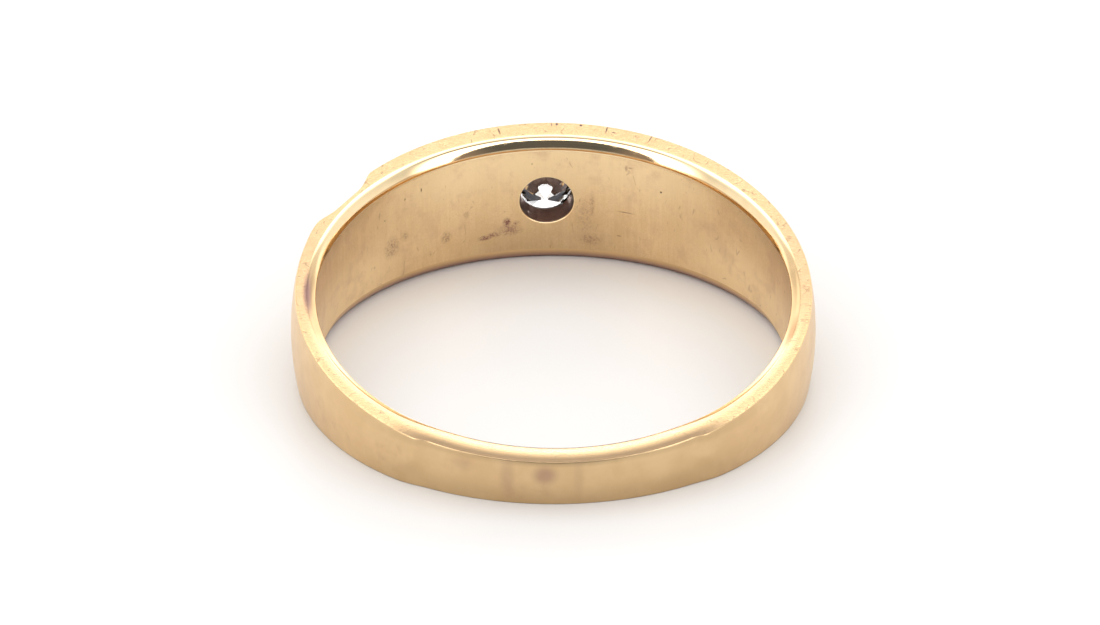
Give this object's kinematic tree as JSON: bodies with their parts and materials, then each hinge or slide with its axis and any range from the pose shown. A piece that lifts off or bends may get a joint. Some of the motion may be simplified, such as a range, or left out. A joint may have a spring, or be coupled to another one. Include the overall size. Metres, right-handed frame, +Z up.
{
  "type": "flush-set solitaire ring",
  "caption": "Gold finger ring lying on its side: a domed band, wide at the front and narrow at the back, with a round brilliant set flush in the wide part.",
  "frame": {"origin": "on the surface that the ring lies on, under the middle of its bounding box", "axes": "+Y from the narrow back towards the wide front with the stone, +X to the right seen from the back, +Z up; the bore leans 5.56 degrees back towards -Y, because the tapered band lies on one edge face"},
  "size_m": [0.021, 0.0218, 0.0061],
  "materials": {
    "yellow_gold": "worn satin with a polished inner edge",
    "diamond": "cut and polished facets"
  },
  "bodies": {
    "root": {"band": "yellow_gold", "diamond": "diamond"}
  },
  "joints": []
}
